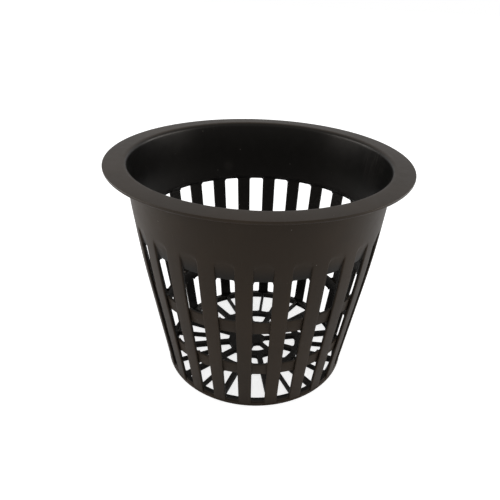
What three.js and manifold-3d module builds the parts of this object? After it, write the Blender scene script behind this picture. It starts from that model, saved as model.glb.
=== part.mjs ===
// A net pot for hydroponic growing: one black polypropylene moulding, drawn region by region.
// A flared lip hangs the pot in its hole, a short neck bends down from it into a smooth collar, and
// below the collar the wall is a lattice of upright slats over two hoops, closed by an open floor.
// Millimetres and degrees, +Z up, origin at the centre of the foot.

import * as THREE from "three";
import { mergeVertices } from "three/addons/utils/BufferGeometryUtils.js";
import Module from "manifold-3d";

// Overall form
const potHeight = 70.2;
const rimRadius = 44.6;

// The wall stands under the lip, leaning out steeply up to its shoulder and less above it. Its inside
// leans out evenly from the slots to the mouth, so the collar grows thinner towards the neck
const lowerWallAngle = 8.2;
const upperWallAngle = 4.7;
const shoulderHeight = 44;
const shoulderBlend = 10;
const wallThickness = 1.8;
const neckThickness = 1;

// Lip, with the neck that bends out of the collar into it
const lipOverhang = 5.6;
const lipThickness = 1.1;
const lipDrop = 0.1;
const seatWidth = 2.4;
const neckFillet = 2.7;
const bendWidth = 1.3;
const bendDrop = 1.2;

// Slats stand in the outer layer of the wall, from the base ring to the collar
const slatCount = 24;
const slatAngle = 7.4;
const slatInsideAngle = 7;
const collarDepth = 20.6;
const slatChamfer = 0.35;
const slatBite = 0.1;

// Hoops lie in the inner layer, flush with the inside
const hoopThickness = 0.95;
const hoopHeight = 4;
const upperHoopFloor = 31.2;
const lowerHoopFloor = 14.2;

// Recess above each slot, where the slot runs out into the collar
const recessMarginAngle = 0.35;
const recessRise = 6.7;
const recessArch = 1.6;

// Floor, with the base ring whose inner face leans back towards its top
const floorThickness = 1.6;
const baseRingWidth = 2.65;
const baseRingLean = 0.85;
const outerRingInside = 14.4;
const outerRingWidth = 2;
const innerRingInside = 6.9;
const innerRingWidth = 2.6;
const hubRadius = 3;
const hubArmCount = 6;
const hubArmWidth = 1.3;
const wideSpokeWidth = 1.9;
const narrowSpokeWidth = 1.1;
const spokeDraftAngle = 5;

// Smoothness of the round parts, which points count as one, and how far a cut runs past its piece
const facetsPerSlat = 3;
const curveSteps = 3;
const blendSteps = 3;
const weldDistance = 1e-4;
const overrun = 1;

const radians = THREE.MathUtils.degToRad;
const pitch = 360 / slatCount;
const firstSlat = pitch / 2;
const slatProud = wallThickness - hoopThickness;
const slatThickness = slatProud + slatBite;
const seatHeight = potHeight - lipDrop - lipThickness;
const neckHeight = seatHeight - neckFillet;
const slatTop = potHeight - collarDepth;
const footRadius = rimRadius - lipOverhang - wallSpread(seatHeight);
const crestRadius = insideRadius(potHeight) + bendWidth;
const seatOutside = rimRadius - lipThickness;
const seatInside = seatOutside - seatWidth;
const baseRingInside = footRadius - baseRingWidth;

const wasm = await Module();
wasm.setup();

// A closed geometry as a solid that can be cut and joined
function solidFrom(geometry) {
  const bare = geometry.index ? geometry.toNonIndexed() : geometry.clone();
  bare.deleteAttribute("normal");
  bare.deleteAttribute("uv");
  const merged = mergeVertices(bare, weldDistance);
  const mesh = new wasm.Mesh({
    numProp: 3,
    vertProperties: merged.attributes.position.array,
    triVerts: Uint32Array.from(merged.index.array),
  });
  return new wasm.Manifold(mesh);
}

function geometryFrom(solid) {
  const mesh = solid.getMesh();
  const geometry = new THREE.BufferGeometry();
  geometry.setAttribute("position", new THREE.Float32BufferAttribute(mesh.vertProperties, 3));
  geometry.setIndex(Array.from(mesh.triVerts));
  const flat = geometry.toNonIndexed();
  flat.computeVertexNormals();
  return flat;
}

// A profile of (radius, height) points, counter-clockwise, turned about the pot's axis
function turned(profile) {
  const closed = [...profile, profile[0]];
  return new THREE.LatheGeometry(closed, slatCount * facetsPerSlat).rotateX(Math.PI / 2);
}

// How far the wall has leaned out at a height: its lower taper eases into the upper one at the shoulder
function wallSpread(height) {
  const lower = Math.tan(radians(lowerWallAngle));
  const easing = lower - Math.tan(radians(upperWallAngle));
  const blendStart = shoulderHeight - shoulderBlend;
  const blended = THREE.MathUtils.clamp(height - blendStart, 0, 2 * shoulderBlend);
  const beyond = Math.max(0, height - shoulderHeight - shoulderBlend);
  return lower * height - easing * (blended ** 2 / (4 * shoulderBlend) + beyond);
}

// Outside radius of the wall
function wallRadius(height) {
  return footRadius + wallSpread(height);
}

// Inside radius of the collar and neck, on a straight line from the slots up
function insideRadius(height) {
  const slotInside = wallRadius(slatTop) - wallThickness;
  const neckInside = wallRadius(neckHeight) - neckThickness;
  return THREE.MathUtils.mapLinear(height, slatTop, neckHeight, slotInside, neckInside);
}

// Heights at which the wall's line has points between two heights, both ends included
function wallLevels(from, to) {
  const bends = Array.from({ length: blendSteps + 1 }, (_, i) => {
    return shoulderHeight + shoulderBlend * ((2 * i) / blendSteps - 1);
  });
  return [from, ...bends.filter((height) => height > from && height < to), to];
}

// A band of the wall between two insets from its outside
function wallBand(from, to, outerInset, innerInset) {
  const levels = wallLevels(from, to);
  const outside = levels.map((z) => new THREE.Vector2(wallRadius(z) - outerInset, z));
  const inside = levels.map((z) => new THREE.Vector2(wallRadius(z) - innerInset, z));
  return turned([...outside, ...inside.reverse()]);
}

// A flat ring of the floor
function floorRing(inside, width) {
  const outside = inside + width;
  return turned([
    new THREE.Vector2(inside, 0),
    new THREE.Vector2(outside, 0),
    new THREE.Vector2(outside, floorThickness),
    new THREE.Vector2(inside, floorThickness),
  ]);
}

// Width, height and depth of a drawn shape become tangential, upright and radial
function alongRadius(geometry) {
  const tangent = new THREE.Vector3(0, 1, 0);
  const upright = new THREE.Vector3(0, 0, 1);
  const radial = new THREE.Vector3(1, 0, 0);
  return geometry.applyMatrix4(new THREE.Matrix4().makeBasis(tangent, upright, radial));
}

// A closed body through outlines of equal length, each counter-clockwise seen from above
function loft(outlines) {
  const count = outlines[0].length;
  const index = [];
  for (let level = 1; level < outlines.length; level++) {
    for (let i = 0; i < count; i++) {
      const next = (i + 1) % count;
      const below = (level - 1) * count;
      const above = level * count;
      index.push(below + i, below + next, above + next);
      index.push(below + i, above + next, above + i);
    }
  }
  const last = (outlines.length - 1) * count;
  for (let i = 2; i < count; i++) {
    index.push(0, i, i - 1);
    index.push(last, last + i - 1, last + i);
  }
  const geometry = new THREE.BufferGeometry().setFromPoints(outlines.flat());
  return geometry.setIndex(index);
}

// Rim lip: flat seat, an edge rounded below and crisp on top, and a nearly level top out from the crest
function rimLip() {
  const edge = new THREE.Path();
  edge.moveTo(seatOutside, seatHeight);
  edge.quadraticCurveTo(rimRadius, seatHeight, rimRadius, potHeight - lipDrop);
  const crest = new THREE.Vector2(crestRadius, potHeight);
  const seatInner = new THREE.Vector2(seatInside, seatHeight);
  return turned([...edge.getPoints(curveSteps), crest, seatInner]);
}

// Neck: the wall meets the crest of the lip in a small bend, with a fillet under it that ends at the seat
function neck() {
  const fillet = new THREE.Path();
  fillet.moveTo(wallRadius(neckHeight), neckHeight);
  fillet.quadraticCurveTo(wallRadius(seatHeight), seatHeight, seatInside, seatHeight);
  const bend = new THREE.Path();
  bend.moveTo(crestRadius, potHeight);
  const bendFoot = potHeight - bendDrop;
  bend.quadraticCurveTo(insideRadius(potHeight), potHeight, insideRadius(bendFoot), bendFoot);
  const throat = new THREE.Vector2(insideRadius(neckHeight), neckHeight);
  return turned([...fillet.getPoints(curveSteps), ...bend.getPoints(curveSteps), throat]);
}

// Arched wedge that cuts one recess: full slat depth at the slot, nothing at the arch's top
function recessCutter() {
  const deepRadius = wallRadius(slatTop) - slatProud;
  const lean = Math.atan2(wallRadius(slatTop + recessRise) - deepRadius, recessRise);
  const length = recessRise / Math.cos(lean);
  const halfAngle = (pitch - slatAngle) / 2 - recessMarginAngle;
  const halfWidth = wallRadius(slatTop) * Math.sin(radians(halfAngle));
  const spring = length - recessArch;
  const arch = new THREE.Shape();
  arch.moveTo(-halfWidth, -overrun);
  arch.lineTo(halfWidth, -overrun);
  arch.lineTo(halfWidth, spring);
  arch.absellipse(0, spring, halfWidth, recessArch, 0, Math.PI, false);
  arch.lineTo(-halfWidth, -overrun);
  const depth = slatProud + 2 * overrun;
  const cutter = new THREE.ExtrudeGeometry(arch, { depth, bevelEnabled: false, curveSegments: curveSteps });
  return alongRadius(cutter).rotateY(lean).translate(deepRadius, 0, slatTop);
}

// Collar: the plain band under the lip, with a recess run out above every slot
function collar() {
  const cutter = solidFrom(recessCutter());
  const outside = wallLevels(slatTop, neckHeight).map((z) => new THREE.Vector2(wallRadius(z), z));
  const inside = [neckHeight, slatTop].map((z) => new THREE.Vector2(insideRadius(z), z));
  let band = solidFrom(turned([...outside, ...inside]));
  for (let slot = 0; slot < slatCount; slot++) {
    band = band.subtract(cutter.rotate([0, 0, slot * pitch]));
  }
  return geometryFrom(band);
}

// Level outline of a slat: flat face, chamfered outer edges, sides that draw together inwards
function slatOutline(height) {
  const half = radians(slatAngle / 2);
  const insideHalf = radians(slatInsideAngle / 2);
  const outside = wallRadius(height);
  const edge = half - slatChamfer / outside;
  const inside = outside - slatThickness;
  const corners = [
    [inside, -insideHalf],
    [outside - slatChamfer, -half],
    [outside, -edge],
    [outside, edge],
    [outside - slatChamfer, half],
    [inside, insideHalf],
  ];
  return corners.map(([radius, angle]) => {
    return new THREE.Vector3(radius * Math.cos(angle), radius * Math.sin(angle), height);
  });
}

// First slat: a bar that stands on the base ring and bites into the hoops, notched to fit them
function slat(hoops) {
  const outlines = wallLevels(floorThickness, slatTop).map(slatOutline);
  const bar = loft(outlines).rotateZ(radians(firstSlat));
  return geometryFrom(hoops.reduce((body, hoop) => body.subtract(solidFrom(hoop)), solidFrom(bar)));
}

// Base ring: flush with the slats outside and wider at the foot inside
function footRing() {
  return turned([
    new THREE.Vector2(baseRingInside, 0),
    new THREE.Vector2(footRadius, 0),
    new THREE.Vector2(wallRadius(floorThickness), floorThickness),
    new THREE.Vector2(baseRingInside + baseRingLean, floorThickness),
  ]);
}

// A drafted bar of the floor along +X between two radii
function floorBar(from, to, width) {
  const narrowing = floorThickness * Math.tan(radians(spokeDraftAngle));
  const section = new THREE.Shape();
  section.moveTo(-width / 2, 0);
  section.lineTo(width / 2, 0);
  section.lineTo(width / 2 - narrowing, floorThickness);
  section.lineTo(-width / 2 + narrowing, floorThickness);
  section.closePath();
  const bar = new THREE.ExtrudeGeometry(section, { depth: to - from, bevelEnabled: false });
  return alongRadius(bar).translate(from, 0, 0);
}

// First outer spoke, from the outer ring to the base ring, its ends shaped to both
function outerSpoke(width, rings) {
  const start = outerRingInside + outerRingWidth - overrun;
  const end = baseRingInside + baseRingLean + overrun;
  const bar = floorBar(start, end, width).rotateZ(radians(firstSlat));
  return geometryFrom(rings.reduce((body, ring) => body.subtract(solidFrom(ring)), solidFrom(bar)));
}

// Inner ring with the wide spokes that reach out to the outer ring
function innerStar(outerRing) {
  const reach = outerRingInside + overrun;
  const spoke = solidFrom(floorBar(innerRingInside + overrun, reach, wideSpokeWidth));
  let star = solidFrom(floorRing(innerRingInside, innerRingWidth));
  for (let azimuth = firstSlat; azimuth < 360; azimuth += 2 * pitch) {
    star = star.add(spoke.rotate([0, 0, azimuth]));
  }
  return geometryFrom(star.subtract(solidFrom(outerRing)));
}

// Hub: a disc with arms out to the inner ring
function hub(star) {
  const arm = solidFrom(floorBar(hubRadius - overrun, innerRingInside + overrun, hubArmWidth));
  const disc = new THREE.CylinderGeometry(hubRadius, hubRadius, floorThickness, slatCount);
  disc.rotateX(Math.PI / 2).translate(0, 0, floorThickness / 2);
  let body = solidFrom(disc);
  for (let i = 0; i < hubArmCount; i++) {
    body = body.add(arm.rotate([0, 0, firstSlat + (i * 360) / hubArmCount]));
  }
  return geometryFrom(body.subtract(solidFrom(star)));
}

const outsideColour = 0x3a3632;
const insideColour = 0x1f1d1c;
const satin = 0.5;
const dull = 0.65;

function plastic(name, geometry, color, roughness) {
  const material = new THREE.MeshStandardMaterial({ color, roughness, metalness: 0 });
  const mesh = new THREE.Mesh(geometry, material);
  mesh.name = name;
  return mesh;
}

function numbered(stem, count, makeMesh) {
  return Array.from({ length: count }, (_, i) => makeMesh(`${stem}_${String(i + 1).padStart(2, "0")}`, i));
}

const upperHoop = wallBand(upperHoopFloor, upperHoopFloor + hoopHeight, slatProud, wallThickness);
const lowerHoop = wallBand(lowerHoopFloor, lowerHoopFloor + hoopHeight, slatProud, wallThickness);
const baseRing = footRing();
const outerRing = floorRing(outerRingInside, outerRingWidth);
const innerRing = innerStar(outerRing);

const rim = new THREE.Group();
rim.add(plastic("rim_lip", rimLip(), outsideColour, satin));
rim.add(plastic("neck", neck(), outsideColour, satin));
rim.add(plastic("collar", collar(), outsideColour, satin));

const lattice = new THREE.Group();
const slatGeometry = slat([upperHoop, lowerHoop]);
numbered("slat", slatCount, (name, i) => {
  const mesh = plastic(name, slatGeometry, outsideColour, satin);
  mesh.rotation.z = radians(i * pitch);
  lattice.add(mesh);
});
lattice.add(plastic("hoop_upper", upperHoop, insideColour, dull));
lattice.add(plastic("hoop_lower", lowerHoop, insideColour, dull));

const floor = new THREE.Group();
floor.add(plastic("base_ring", baseRing, outsideColour, satin));
floor.add(plastic("floor_ring_outer", outerRing, insideColour, dull));
floor.add(plastic("floor_ring_inner", innerRing, insideColour, dull));
floor.add(plastic("hub", hub(innerRing), insideColour, dull));
const spokeKinds = [
  ["spoke_wide", wideSpokeWidth, 0],
  ["spoke_narrow", narrowSpokeWidth, pitch],
];
for (const [stem, width, start] of spokeKinds) {
  const spokeGeometry = outerSpoke(width, [outerRing, baseRing]);
  numbered(stem, slatCount / 2, (name, i) => {
    const mesh = plastic(name, spokeGeometry, insideColour, dull);
    mesh.rotation.z = radians(start + i * 2 * pitch);
    floor.add(mesh);
  });
}

const pot = new THREE.Group();
pot.add(rim, lattice, floor);

export default pot;
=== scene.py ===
"""The visible moulding of a net pot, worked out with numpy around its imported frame. Metres and radians."""
import math

import bpy
import numpy as np
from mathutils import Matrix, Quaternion, Vector


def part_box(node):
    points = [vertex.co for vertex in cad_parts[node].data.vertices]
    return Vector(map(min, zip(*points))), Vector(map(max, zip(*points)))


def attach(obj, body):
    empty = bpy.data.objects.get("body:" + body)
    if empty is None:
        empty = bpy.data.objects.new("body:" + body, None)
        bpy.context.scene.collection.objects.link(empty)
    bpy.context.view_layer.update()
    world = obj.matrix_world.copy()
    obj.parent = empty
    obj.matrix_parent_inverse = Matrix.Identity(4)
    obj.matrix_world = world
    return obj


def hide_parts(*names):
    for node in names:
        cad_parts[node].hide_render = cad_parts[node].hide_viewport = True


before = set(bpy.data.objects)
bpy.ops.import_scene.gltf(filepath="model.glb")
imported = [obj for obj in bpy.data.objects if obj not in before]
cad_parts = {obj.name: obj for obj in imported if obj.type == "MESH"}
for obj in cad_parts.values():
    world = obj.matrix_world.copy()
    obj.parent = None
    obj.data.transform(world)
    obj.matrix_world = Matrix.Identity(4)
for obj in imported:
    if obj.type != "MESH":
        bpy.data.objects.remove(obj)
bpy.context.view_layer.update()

# Rim lip: the flange that hangs the pot on the edge of its hole, moulded in black polypropylene in one
# with all that follows. Its seat is flat, its edge is rounded from below and crisp on top, and its top
# runs nearly level out from the crest of the bend that comes up out of the bore.
mm = 0.001
rim_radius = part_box("rim_lip")[1].x
pot_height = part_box("rim_lip")[1].z
seat_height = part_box("rim_lip")[0].z
seat_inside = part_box("neck")[1].x
neck_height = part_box("neck")[0].z
neck_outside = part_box("collar")[1].x
slat_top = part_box("collar")[0].z
wall_thickness = 1.8 * mm
neck_thickness = 1 * mm
lower_wall_angle = math.radians(8.2)
upper_wall_angle = math.radians(4.7)
shoulder_height = 44 * mm
shoulder_blend = 10 * mm
bend_width = 1.3 * mm
lip_thickness = 1.1 * mm
lip_drop = 0.1 * mm
lip_edge = 0.22 * mm
lower_lean = math.tan(lower_wall_angle)
upper_lean = math.tan(upper_wall_angle)
turned_steps = 288
sharp_angle = math.radians(32)
# Painted light and shade on the plastic: the outside faces get two lighter, warm blacks as if lit by a warm
# surround, and the faces further in get a deep neutral black as painted shade.
painted_lit_black = (0.023, 0.0148, 0.0085, 1)
painted_lit_warm_black = (0.029, 0.0182, 0.01, 1)
painted_shade_black = (0.0024, 0.0023, 0.0022, 1)
dust_colour = (0.3, 0.28, 0.25, 1)
rubbed_colour = (0.2, 0.18, 0.16, 1)
# Painted warm reflection: a warm tint on the plastic's reflections in place of a warm surround.
painted_warm_reflection = (1, 0.92, 0.84, 1)
relief_depth = 0.012 * mm
# Depths under the outside face over which the painted light fades into the painted shade.
lit_skin_depth = 0.15 * mm
shade_skin_depth = 0.75 * mm
pattern_radius = 36
draw_stretch = 0.035
nesting_scuffs = ((36.8, 7.4, 65), 3, 9)
thumb_smear = ((-10.6, 34.7, 54.8), 0.5, 2.6)
lip_dust = ((42, 3, 70.2), 1, 9)
worn_strength = 0.15
scuff_strength = 0.13
smear_strength = 0.12
dust_strength = 0.5


def quadratic(start, corner, end, steps):
    """Points on a parabola: (1 - s) squared start, plus 2 s (1 - s) corner, plus s squared end."""
    start, corner, end = np.array(start), np.array(corner), np.array(end)
    s = np.linspace(0, 1, steps + 1).reshape(-1, *[1] * start.ndim)
    return (1 - s) ** 2 * start + 2 * s * (1 - s) * corner + s**2 * end


def wall_spread(height):
    """The lower lean times the height, less what a parabola eases off it across the shoulder."""
    blended = np.clip(height - shoulder_height + shoulder_blend, 0, 2 * shoulder_blend)
    beyond = np.maximum(0, height - shoulder_height - shoulder_blend)
    return lower_lean * height - (lower_lean - upper_lean) * (blended**2 / (4 * shoulder_blend) + beyond)


def wall_radius(height):
    """Outside radius of the wall: that of the neck, less how far the wall leans out from here to there."""
    return neck_outside - wall_spread(neck_height) + wall_spread(height)


def throat_radius(height):
    """Inside radius of the collar and neck: a straight line up from the slots, on past the neck."""
    slot_inside = wall_radius(slat_top) - wall_thickness
    neck_inside = neck_outside - neck_thickness
    return slot_inside + (neck_inside - slot_inside) * (height - slat_top) / (neck_height - slat_top)


foot_radius = wall_radius(0)
crest_radius = throat_radius(pot_height) + bend_width


def around_axis(azimuth, radius, height):
    """Points (radius cos azimuth, radius sin azimuth, height), for arrays that fit each other's shape."""
    azimuth, radius, height = np.broadcast_arrays(azimuth, radius, height)
    return np.stack([radius * np.cos(azimuth), radius * np.sin(azimuth), height], -1)


def turned(profile):
    """A closed profile of (radius, height), its outside going up, at even azimuths round the axis."""
    azimuth = np.arange(turned_steps) * (2 * math.pi / turned_steps)
    return around_axis(azimuth[:, None], profile[None, :, 0], profile[None, :, 1])


def shell(points, capped=False):
    """Points and quads of a grid that closes in its first direction, and in its second one too unless
    flat caps close it there."""
    index = np.arange(points.shape[0] * points.shape[1]).reshape(points.shape[:2])
    beside = np.roll(index, -1, 0)
    quads = np.stack([index, beside, np.roll(beside, -1, 1), np.roll(index, -1, 1)], -1)
    if not capped:
        return points.reshape(-1, 3), quads.reshape(-1, 4).tolist()
    caps = [index[::-1, 0].tolist(), index[:, -1].tolist()]
    return points.reshape(-1, 3), quads[:, :-1].reshape(-1, 4).tolist() + caps


def moulding(node, material, shells):
    """One smooth piece made of closed shells, which stands in place of its CAD node."""
    points, faces = [], []
    for shell_points, shell_faces in shells:
        start = sum(len(block) for block in points)
        points.append(shell_points)
        faces += [[start + corner for corner in face] for face in shell_faces]
    mesh = bpy.data.meshes.new(node + "_moulding")
    mesh.from_pydata(np.concatenate(points).tolist(), [], faces)
    mesh.polygons.foreach_set("use_smooth", [True] * len(mesh.polygons))
    mesh.set_sharp_from_angle(angle=sharp_angle)
    mesh.materials.append(material)
    piece = bpy.data.objects.new(mesh.name, mesh)
    bpy.context.scene.collection.objects.link(piece)
    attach(piece, "root")
    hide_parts(node)


class Level:
    """A number that varies over a surface. Arithmetic on it adds Math nodes to its finish."""

    def __init__(self, finish, socket):
        self.finish = finish
        self.socket = socket

    def math(self, operation, first, second):
        return self.finish.add("ShaderNodeMath", {"operation": operation}, {0: first, 1: second})

    def __add__(self, other):
        return self.math("ADD", self, other)

    def __sub__(self, other):
        return self.math("SUBTRACT", self, other)

    def __rsub__(self, other):
        return self.math("SUBTRACT", other, self)

    def __mul__(self, other):
        return self.math("MULTIPLY", self, other)

    __radd__ = __add__
    __rmul__ = __mul__

    def smaller(self, other):
        return self.math("MINIMUM", self, other)

    def between(self, low, high):
        """0 up to low, 1 from high on, and a smooth step between them."""
        settings = {"interpolation_type": "SMOOTHSTEP"}
        return self.finish.add("ShaderNodeMapRange", settings, {0: self, 1: low, 2: high})


class Finish:
    """The nodes of one material or of the studio's surround. One method adds any node."""

    def __init__(self, owner):
        owner.use_nodes = True
        self.tree = owner.node_tree
        self.tree.nodes.clear()

    def add(self, kind, settings, inputs, output=0):
        """A node of this kind: its settings first, then the values or links of its sockets."""
        node = self.tree.nodes.new(kind)
        for setting, value in settings.items():
            setattr(node, setting, value)
        for socket, value in inputs.items():
            if isinstance(value, Level):
                self.tree.links.new(value.socket, node.inputs[socket])
            else:
                node.inputs[socket].default_value = value
        return Level(self, node.outputs[output]) if node.outputs else None

    def noise(self, place, scale, detail, roughness=0.5):
        inputs = {"Vector": place, "Scale": scale, "Detail": detail, "Roughness": roughness}
        return self.add("ShaderNodeTexNoise", {}, inputs)

    def vector(self, operation, first, second=(0, 0, 0)):
        return self.add("ShaderNodeVectorMath", {"operation": operation}, {0: first, 1: second})

    def length(self, vector):
        return self.add("ShaderNodeVectorMath", {"operation": "LENGTH"}, {0: vector}, "Value")

    def near(self, place, mark):
        """1 within a mark's first distance of its centre, fading to 0 at its second distance."""
        centre, full, gone = mark
        return 1 - self.length(self.vector("SUBTRACT", place, centre)).between(full, gone)

    def mixed(self, share, first, second):
        return self.add("ShaderNodeMix", {"data_type": "RGBA"}, {"Factor": share, 6: first, 7: second}, 2)


def painted_light_share(finish, metres, face_inset):
    """1, painted light, to the depth of the outside skin under faces that lie face_inset under the wall's
    outside, fading to 0, painted shade, at the inside skin. The wall's outside is the smaller of two lines of
    radius against height."""
    from_axis = finish.length(finish.vector("MULTIPLY", metres, (1, 1, 0)))
    up = finish.add("ShaderNodeSeparateXYZ", {}, {0: metres}, "Z")
    lower_line = foot_radius + lower_lean * up
    upper_line = neck_outside + upper_lean * (up - neck_height)
    from_face = from_axis - lower_line.smaller(upper_line) + face_inset
    return from_face.between(-shade_skin_depth, -lit_skin_depth)


def polypropylene(name, roughness, rub, face_inset=0):
    """Black polypropylene as it leaves the mould: a fine even grain, cloudy gloss, a slow drift between
    two warm blacks painted as lit on the faces that lie face_inset under the wall's outside, a deeper
    black further in painted as shade, where it is also smoother, reflections tinted warm as painted
    reflection, draw marks up the wall, rub marks from nesting in other pots, and grains of dust. Patterns
    and marks are in millimetres."""
    material = bpy.data.materials.new(name)
    finish = Finish(material)
    metres = finish.add("ShaderNodeTexCoord", {}, {}, "Object")
    place = finish.vector("MULTIPLY", metres, (1 / mm, 1 / mm, 1 / mm))
    heading = finish.vector("NORMALIZE", finish.vector("MULTIPLY", metres, (1, 1, 0)))
    round_wall = finish.vector("MULTIPLY", heading, (pattern_radius, pattern_radius, 0))
    up_wall = finish.vector("MULTIPLY", place, (0, 0, draw_stretch))
    draw = finish.vector("ADD", up_wall, round_wall)
    drift = finish.noise(place, scale=0.045, detail=3)
    cloud = finish.noise(place, scale=0.35, detail=4, roughness=0.6)
    grain = finish.noise(place, scale=4.5, detail=2)
    ripple = finish.noise(place, scale=0.12, detail=1)
    patches = finish.noise(place, scale=0.06, detail=2)
    strokes = finish.noise(draw, scale=3.2, detail=4, roughness=0.7)
    draw_marks = finish.noise(draw, scale=1.6, detail=3, roughness=0.65).between(0.35, 0.75)
    worn = strokes.between(0.6, 0.74) * patches.between(0.48, 0.62) * rub
    scuffed = strokes.between(0.48, 0.66) * finish.near(place, nesting_scuffs)
    smeared = finish.near(place, thumb_smear) * cloud
    speck_cells = finish.add("ShaderNodeTexVoronoi", {}, {"Vector": place, "Scale": 0.55}, "Distance")
    dusty_place = finish.noise(place, scale=0.9, detail=1) + 0.16 * finish.near(place, lip_dust)
    dust = (1 - speck_cells.between(0.05, 0.11)) * dusty_place.between(0.66, 0.7)
    # outside is the share of painted light. warm drifts between the two painted lit blacks, and plastic mixes
    # it with the painted shade black further in.
    outside = painted_light_share(finish, metres, face_inset)
    warm = finish.mixed(drift.between(0.38, 0.62), painted_lit_black, painted_lit_warm_black)
    plastic = finish.mixed(outside, painted_shade_black, warm)
    marks = worn * worn_strength + scuffed * scuff_strength + smeared * smear_strength
    rubbed = finish.mixed(marks, plastic, rubbed_colour)
    dusty = finish.mixed(dust * dust_strength, rubbed, dust_colour)
    clean_gloss = roughness - 0.1 * (1 - outside) + 0.12 * (cloud - 0.5) + 0.05 * (grain - 0.5)
    gloss = clean_gloss + 0.08 * worn + 0.2 * dust
    height = 0.25 * grain + 0.2 * draw_marks + 2.2 * ripple + 0.5 * cloud + 1.5 * dust
    normal = finish.add("ShaderNodeBump", {}, {"Strength": 1, "Distance": relief_depth, "Height": height})
    surface = {"Base Color": dusty, "Roughness": gloss, "Normal": normal, "IOR": 1.49}
    # The warm specular tint is painted reflection.
    surface |= {"Specular IOR Level": 0.33, "Specular Tint": painted_warm_reflection}
    shader = finish.add("ShaderNodeBsdfPrincipled", {}, surface)
    finish.add("ShaderNodeOutputMaterial", {}, {"Surface": shader})
    return material


def rim_profile():
    """From the seat up the rounded underside, round the crisp top edge, in along the top, which lies below
    the crest by the square of the way out from it, and straight down from the crest to the seat."""
    edge_top = pot_height - lip_drop
    seat_end = (rim_radius - lip_thickness, seat_height)
    under = quadratic(seat_end, (rim_radius, seat_height), (rim_radius, edge_top - lip_edge), 12)
    over = quadratic(under[-1], (rim_radius, edge_top), (rim_radius - lip_edge, edge_top), 6)
    share = np.linspace(1, 0, 13)[1:]
    width = rim_radius - lip_edge - crest_radius
    top = np.stack([crest_radius + width * share, pot_height - lip_drop * share**2], 1)
    return np.concatenate([under, over[1:], top, [(seat_inside, seat_height)]])


outside_plastic = polypropylene("satin_outside", roughness=0.42, rub=0.6)
moulding("rim_lip", outside_plastic, [shell(turned(rim_profile()))])

# Neck: the short ring in which the wall meets the lip, in a small bend at the mouth. The fillet under the
# lip keeps the neck about as thick as the lip, so that the moulding cools evenly.
bend_drop = 1.2 * mm
bend_foot = pot_height - bend_drop
fillet_corner = (wall_radius(seat_height), seat_height)
fillet = quadratic((neck_outside, neck_height), fillet_corner, (seat_inside, seat_height), 16)
bend_corner = (throat_radius(pot_height), pot_height)
bend = quadratic((crest_radius, pot_height), bend_corner, (throat_radius(bend_foot), bend_foot), 16)
throat_rows = np.linspace(bend_foot, neck_height, 5)[1:]
throat = np.stack([throat_radius(throat_rows), throat_rows], 1)
moulding("neck", outside_plastic, [shell(turned(np.concatenate([fillet, bend, throat])))])

# Collar: the plain band under the neck. Above each slot a shallow recess runs out of it in an arch, and
# its lower edge ends in the tops of the slots, with a fillet in each of their corners.
slat_count = sum(node.startswith("slat_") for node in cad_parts)
pitch = 2 * math.pi / slat_count
slat_angle = math.radians(7.4)
slat_inside_angle = math.radians(7)
slat_half = slat_angle / 2
slat_inside_half = slat_inside_angle / 2
slat_bite = 0.1 * mm
hoop_inset = wall_radius(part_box("hoop_upper")[1].z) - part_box("hoop_upper")[1].x
slat_thickness = hoop_inset + slat_bite
slat_edge = 0.4 * mm
slot_corner = 0.6 * mm
slot_edge = 0.12 * mm
weld = 0.02 * mm
recess_top = slat_top + 6.7 * mm
recess_arch = 1.6 * mm
recess_fade = 2 * mm
recess_depth = 0.7 * mm
recess_side_slope = 1.6
ceiling_rise = 1.1 * mm
outside_levels = (60 * mm, 63 * mm, neck_height)
inside_levels = (neck_height, 60 * mm, recess_top, 52 * mm)


def side_half(inset):
    """Half a slat's angle at a depth in the wall: its sides draw together evenly from face to inside."""
    return slat_half - (slat_half - slat_inside_half) * inset / slat_thickness


def lattice_azimuths(radius, inset=0):
    """Azimuths round the pot, closer together at the corners of the slots and the edges of the slats."""
    edge = (pitch / 2 - side_half(inset)) * radius
    corner_turn = np.linspace(0, math.pi / 2, 7)
    edge_turn = np.linspace(math.pi / 6, math.pi / 2, 5)
    slot = np.linspace(0, edge - slot_corner, 6)[:-1]
    corner = edge - slot_corner * (1 - np.sin(corner_turn))
    seam = edge + weld * np.array([1, 2])
    rounding = edge + slat_edge * (1 - np.cos(edge_turn))
    slat = np.linspace(edge + slat_edge, radius * pitch / 2, 4)[1:]
    half = np.concatenate([slot, corner, seam, rounding, slat]) / radius
    whole = np.concatenate([half, pitch - half[-2:0:-1]])
    return (whole + pitch * np.arange(slat_count)[:, None]).ravel()[:, None]


def past_slot_edge(azimuth, radius, inset=0):
    """Distance from the side of the nearest slat, along the wall: negative in a slot."""
    from_middle = np.abs((azimuth + pitch / 2) % pitch - pitch / 2)
    return (from_middle - pitch / 2 + side_half(inset)) * radius


def corner_fill(past):
    """Height of the fillet in a slot's corner: r less the root of r squared less (r + past) squared. It
    ends inside the slat, between the two azimuths of the seam."""
    reach = np.clip(slot_corner + past, 0, slot_corner)
    fill = slot_corner - np.sqrt(slot_corner**2 - reach**2)
    return np.where(past > 1.5 * weld, 0, fill)


def slat_rounding(past):
    """Inset of a slat's rounded edge e, a parabola: e (1 - the root of past / e) squared."""
    return slat_edge * (1 - np.sqrt(np.clip(past / slat_edge, 0, 1))) ** 2


def recess_inset(past, height):
    """Depth of the recess: a ramp from the top of the slot to nothing, faded out under its arch, and no
    deeper than its sloping side and the rounded edge of the slat beside it."""
    across = np.clip(1 + past / ((pitch / 2 - slat_half) * wall_radius(slat_top)), 0, 1)
    arch = recess_top - recess_arch * (1 - np.sqrt(1 - across**2))
    ramp = recess_depth * np.clip((recess_top - height) / (recess_top - slat_top), 0, 1)
    fade = np.clip((arch - height) / recess_fade, 0, 1)
    side = slat_rounding(past) - recess_side_slope * np.minimum(past, 0)
    return np.minimum(ramp * fade * fade * (3 - 2 * fade), side)


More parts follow.
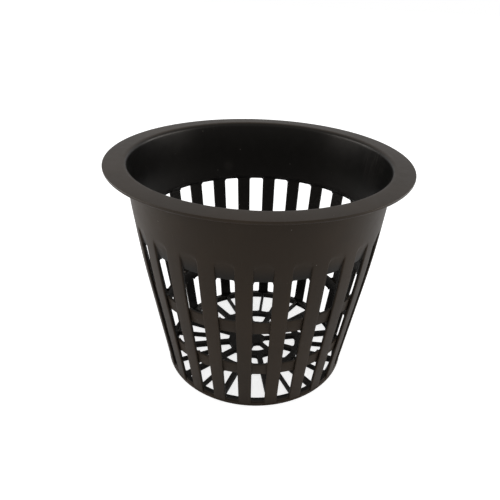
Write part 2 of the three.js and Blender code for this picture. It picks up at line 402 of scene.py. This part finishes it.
def collar():
    """Round the pot: the lower outer edge, the recessed outside going up, the straight inside going down,
    the lower inner edge and the knee under it, each as its distance outwards from the wall's line."""
    azimuth = lattice_azimuths(wall_radius(slat_top))
    past = past_slot_edge(azimuth, wall_radius(slat_top))
    floor = slat_top - corner_fill(past)
    edge = np.where(past > 0, weld / 10, slot_edge)
    turn = np.linspace(0, math.pi / 2, 4)
    recess_rows = np.linspace(slat_top, recess_top, 28)[1:]
    rows = np.concatenate([[slat_top + slot_edge + weld], recess_rows, outside_levels])
    edge_rows = slat_top + ceiling_rise + slot_edge * (1 - np.sin(turn))
    inside_rows = np.tile(np.concatenate([inside_levels, edge_rows]), (len(azimuth), 1))
    inside_across = throat_radius(inside_rows) - wall_radius(inside_rows)
    inside_across[:, len(inside_levels):] += slot_edge * (1 - np.cos(turn))
    edge_across = -recess_inset(past, slat_top) - edge * (1 - np.sin(turn))
    knee_across = np.full(floor.shape, -slat_thickness - weld)
    across = np.concatenate([edge_across, -recess_inset(past, rows), inside_across, knee_across], 1)
    all_rows = np.broadcast_to(rows, (len(azimuth), len(rows)))
    height = np.concatenate([floor + edge * (1 - np.cos(turn)), all_rows, inside_rows, floor], 1)
    return around_axis(azimuth, wall_radius(height) + across, height)


moulding("collar", outside_plastic, [shell(collar())])

# Slats: the upright bars that carry the pot from its foot to the collar. Their outside runs on from the
# collar's, their edges are rounded, and their sides draw together towards the inside of the pot.
slat_inner_edge = 0.2 * mm
slat_foot = 0.9 * mm
floor_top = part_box("base_ring")[1].z


def slat_bar(azimuth):
    """Outlines up the bar, as points (distance from the axis, distance along the wall): half an outline
    from the inner face round to the outer one, that half mirrored, and points along both faces."""
    straight = np.linspace(floor_top, shoulder_height - shoulder_blend, 5)
    shoulder = np.linspace(shoulder_height - shoulder_blend, slat_top, 13)[1:]
    height = np.concatenate([[slat_foot], straight, shoulder])
    outside = wall_radius(height)
    inside = outside - slat_thickness
    outer_corner = np.stack([outside, -slat_half * outside], 1)
    inner_corner = np.stack([inside, -slat_inside_half * inside], 1)
    side = inner_corner - outer_corner
    side /= np.linalg.norm(side, axis=1, keepdims=True)
    along = np.array([0, 1])
    inner_edge = (inner_corner + slat_inner_edge * along, inner_corner, inner_corner - slat_inner_edge * side)
    outer_edge = (outer_corner + slat_edge * side, outer_corner, outer_corner + slat_edge * along)
    half = np.concatenate([quadratic(*inner_edge, 3), quadratic(*outer_edge, 6)])
    mirrored = half[::-1] * (1, -1)
    face = np.linspace(half[-1], mirrored[0], 7)[1:-1]
    inner_face = np.linspace(mirrored[-1], half[0], 7)[1:-1]
    radius, across = np.moveaxis(np.concatenate([half, face, mirrored, inner_face]), -1, 0)
    return around_axis(azimuth + across / radius, radius, height)


for number in range(slat_count):
    bar = slat_bar((number + 0.5) * pitch)
    moulding(f"slat_{number + 1:02d}", outside_plastic, [shell(bar, True)])

# Hoops: the two bands that tie the slats together. They lie in the inner layer of the wall, behind the
# slats, in line with the inside of the collar, and widen in a fillet beside each slat.
# The hoops' outer faces lie hoop_inset under the wall's outside, so they are painted lit like the outside.
# The rest of the hoops and the floor parts are painted shade.
inner_plastic = polypropylene("dull_inside", roughness=0.48, rub=0.35, face_inset=hoop_inset)


def rounded_section(inside, outside, low, high, rounding):
    """A rectangle's outline, outside going up: each corner's centre plus rounding times (cosine, sine)."""
    steps = 3
    quarters = [np.linspace(start, start + 90, steps + 1) for start in (-90, 0, 90, 180)]
    turn = np.radians(np.concatenate(quarters))
    outer = np.repeat([True, True, False, False], steps + 1)
    upper = np.repeat([False, True, True, False], steps + 1)
    across = np.where(outer, outside - rounding, inside + rounding) + rounding * np.cos(turn)
    height = np.where(upper, high - rounding, low + rounding) + rounding * np.sin(turn)
    return across, height


def hoop(low, high):
    """A rounded section that follows the wall's line, taller by the fillet beside a slat."""
    radius = wall_radius((low + high) / 2) - hoop_inset
    azimuth = lattice_azimuths(radius, hoop_inset)
    fill = corner_fill(past_slot_edge(azimuth, radius, hoop_inset))
    across, height = rounded_section(-wall_thickness, -hoop_inset, low - fill, high + fill, slot_edge)
    return around_axis(azimuth, wall_radius(height) + across, height)


for node in ("hoop_upper", "hoop_lower"):
    low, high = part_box(node)
    moulding(node, inner_plastic, [shell(hoop(low.z, high.z))])

# Base ring: the ring round the floor that the slats stand on. A low flange runs round its foot, its face
# above the flange lies back between the slats, and a small fillet joins its top to each of them.
base_ring_width = 2.65 * mm
base_ring_lean = 0.85 * mm
base_ring_setback = 0.2 * mm
flange_reach = 0.05 * mm
ring_edge = 0.25 * mm
base_ring_inside = foot_radius - base_ring_width


def base_ring():
    """Round the ring: up the flange, over its edge, up the face, over the top, whose outer part rises by
    the fillet beside a slat, and down the leaning inner face."""
    azimuth = lattice_azimuths(foot_radius)
    fill = corner_fill(past_slot_edge(azimuth, foot_radius))
    reach = wall_radius(slat_foot) + flange_reach
    face = foot_radius - base_ring_setback
    step = wall_radius(floor_top) - slat_thickness
    top_inside = base_ring_inside + base_ring_lean
    edge_lean = ring_edge * base_ring_lean / floor_top
    heel_lean = slot_edge * base_ring_lean / floor_top
    heel_top = (base_ring_inside + heel_lean, slot_edge)
    brow_foot = (top_inside - edge_lean, floor_top - ring_edge)
    flange = quadratic((reach - slot_edge, 0), (reach, 0), (reach, slot_edge), 3)
    shelf = quadratic((reach, slat_foot - slot_edge), (reach, slat_foot), (face, slat_foot + slot_edge), 4)
    brow = quadratic((face, floor_top - slot_edge), (face, floor_top), (face - slot_edge, floor_top), 3)
    ledge = [(step + weld, floor_top), (step - weld, floor_top)]
    inner_brow = quadratic((top_inside + ring_edge, floor_top), (top_inside, floor_top), brow_foot, 4)
    heel = quadratic(heel_top, (base_ring_inside, 0), (base_ring_inside + slot_edge, 0), 3)
    outline = np.concatenate([flange, shelf, brow, ledge, inner_brow, heel])
    raised = np.zeros(len(outline))
    raised[len(flange) + len(shelf): -len(inner_brow) - len(heel) - 1] = 1
    return around_axis(azimuth, outline[None, :, 0], outline[None, :, 1] + fill * raised)


moulding("base_ring", outside_plastic, [shell(base_ring())])

# Floor rings: two flat rings that the spokes run between. The inner one also carries the wide spokes on
# out to the outer one.
outer_ring_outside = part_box("floor_ring_outer")[1].x
outer_ring_width = 2 * mm
outer_ring_inside = outer_ring_outside - outer_ring_width
inner_ring_inside = 6.9 * mm
inner_ring_width = 2.6 * mm
inner_ring_outside = inner_ring_inside + inner_ring_width
wide_spoke_width = 1.9 * mm
spoke_draft = math.tan(math.radians(5))
spoke_corner = 0.6 * mm
spoke_edge = 0.2 * mm


def floor_ring(inside, outside):
    """The section of a flat ring, its corners rounded, turned round the axis."""
    across, height = rounded_section(inside, outside, 0, floor_top, ring_edge)
    return shell(turned(np.stack([across, height], 1)))


def spoke(azimuth, inside, outside, width):
    """A drafted bar between two rings: its half width grows by a fillet at either end, and its ends
    reach in to where the rings' rounded edges start."""
    turn = np.linspace(0, math.pi / 2, 6)
    near = inside + spoke_corner * (1 - np.sin(turn[::-1]))
    far = outside - spoke_corner * (1 - np.sin(turn))
    radius = np.concatenate([[inside - ring_edge], near, far, [outside + ring_edge]])
    flare = spoke_corner * (1 - np.cos(turn))
    widening = np.concatenate([flare[-1:], flare[::-1], flare, flare[-1:]])
    half = (width / 2 + widening)[:, None]
    across, height = rounded_section(-half, half, 0, floor_top, spoke_edge)
    across = across - np.sign(across) * height * spoke_draft
    turns = np.arcsin(across / radius[:, None])
    return shell(around_axis(azimuth + turns, radius[:, None], height).swapaxes(0, 1), True)


wide_azimuths = (np.arange(0, slat_count, 2) + 0.5) * pitch
moulding("floor_ring_outer", inner_plastic, [floor_ring(outer_ring_inside, outer_ring_outside)])
inner_star = [floor_ring(inner_ring_inside, inner_ring_outside)]
for azimuth in wide_azimuths:
    inner_star.append(spoke(azimuth, inner_ring_outside, outer_ring_inside, wide_spoke_width))
moulding("floor_ring_inner", inner_plastic, inner_star)

# Spokes: twelve wide and twelve narrow bars, in turn, one under each slat, from the outer floor ring to
# the base ring. They taper towards the top, as the mould needs.
narrow_spoke_width = 1.1 * mm
for kind, width, turn in (("wide", wide_spoke_width, 0), ("narrow", narrow_spoke_width, pitch)):
    for number, azimuth in enumerate(wide_azimuths + turn, 1):
        bar = spoke(azimuth, outer_ring_outside, base_ring_inside + base_ring_lean, width)
        moulding(f"spoke_{kind}_{number:02d}", inner_plastic, [bar])

# Hub: the small disc in the middle of the floor, where the plastic flows in, with its arms out to the
# inner ring.
hub_radius = 3 * mm
hub_arms = 6
hub_arm_width = 1.3 * mm


def hub_disc():
    """The rounded side of a flat disc, closed by flat caps."""
    flat = hub_radius - ring_edge
    low = quadratic((flat, 0), (hub_radius, 0), (hub_radius, ring_edge), 3)
    high = quadratic((hub_radius, floor_top - ring_edge), (hub_radius, floor_top), (flat, floor_top), 3)
    return shell(turned(np.concatenate([low, high])), True)


hub = [hub_disc()]
for azimuth in wide_azimuths[:: len(wide_azimuths) // hub_arms]:
    hub.append(spoke(azimuth, hub_radius, inner_ring_inside, hub_arm_width))
moulding("hub", inner_plastic, hub)

# Studio: a pale paper floor, a soft even surround and a low softbox on either side, with the camera where
# the photographer held it, close above the pot and looking down into it. To the camera the surround is
# white, and the paper glows towards white further out and keeps the pot's shadow.
camera_place = (-5.74 * mm, -133.34 * mm, 113.05 * mm)
camera_target = (4.92 * mm, 0, 38.34 * mm)
camera_roll = math.radians(2.88)
photo_pixels = 500
focal_pixels = 465.9
shift_pixels = -23.14
sensor_millimetres = 36
floor_half = 4
floor_drop = 0.05 * mm
paper_grey = (0.8, 0.8, 0.8, 1)
paper_glow = 0.68
paper_glow_gain = 0.27
paper_glow_reach = (0.2, 1)
surround_light = 0.58
softbox_place = (0.5, 0.1, 0.13)
softbox_width = 0.5
softbox_height = 0.22
softbox_watts = 1.3
black = (0, 0, 0, 1)
white = (1, 1, 1, 1)


def aimed(thing, place, target, roll=0):
    """Puts a lamp or camera at a place, looking at the target, turned by roll about its own view."""
    view = Vector(target) - Vector(place)
    thing.rotation_mode = "QUATERNION"
    thing.rotation_quaternion = view.to_track_quat("-Z", "Y") @ Quaternion((0, 0, 1), roll)
    thing.location = place
    bpy.context.scene.collection.objects.link(thing)
    return thing


corners = [(-floor_half, -floor_half), (floor_half, -floor_half)]
corners += [(floor_half, floor_half), (-floor_half, floor_half)]
floor_mesh = bpy.data.meshes.new("studio_floor")
floor_mesh.from_pydata([(x, y, -floor_drop) for x, y in corners], [], [(0, 1, 2, 3)])
paper_material = bpy.data.materials.new("studio_paper")
paper = Finish(paper_material)
seen = paper.add("ShaderNodeLightPath", {}, {}, "Is Camera Ray")
spot = paper.add("ShaderNodeTexCoord", {}, {}, "Object")
away = paper.length(spot).between(*paper_glow_reach)
glow = paper.mixed((paper_glow + paper_glow_gain * away) * seen, black, white)
paper_surface = {"Base Color": paper_grey, "Roughness": 1, "Specular IOR Level": 0}
paper_surface |= {"Emission Color": glow, "Emission Strength": 1}
matt_paper = paper.add("ShaderNodeBsdfPrincipled", {}, paper_surface)
paper.add("ShaderNodeOutputMaterial", {}, {"Surface": matt_paper})
floor_mesh.materials.append(paper_material)
floor = bpy.data.objects.new("studio_floor", floor_mesh)
bpy.context.scene.collection.objects.link(floor)

world = bpy.data.worlds.new("studio_surround")
bpy.context.scene.world = world
surround = Finish(world)
seen = surround.add("ShaderNodeLightPath", {}, {}, "Is Camera Ray")
strength = surround_light + (1 - surround_light) * seen
sky = surround.add("ShaderNodeBackground", {}, {"Color": white, "Strength": strength})
surround.add("ShaderNodeOutputWorld", {}, {"Surface": sky})

for side, sign in (("left", -1), ("right", 1)):
    light = bpy.data.lights.new(f"softbox_{side}", "AREA")
    light.shape = "RECTANGLE"
    light.size = softbox_width
    light.size_y = softbox_height
    light.energy = softbox_watts
    place = (sign * softbox_place[0], softbox_place[1], softbox_place[2])
    softbox = aimed(bpy.data.objects.new(light.name, light), place, (0, 0, pot_height / 2))
    softbox.visible_camera = False

camera_data = bpy.data.cameras.new("camera")
camera_data.sensor_width = sensor_millimetres
camera_data.lens = sensor_millimetres * (focal_pixels / photo_pixels)
camera_data.shift_x = shift_pixels / photo_pixels
camera_data.clip_start = mm
camera = aimed(bpy.data.objects.new("camera", camera_data), camera_place, camera_target, camera_roll)
bpy.context.scene.camera = camera
bpy.context.scene.view_settings.view_transform = "Standard"
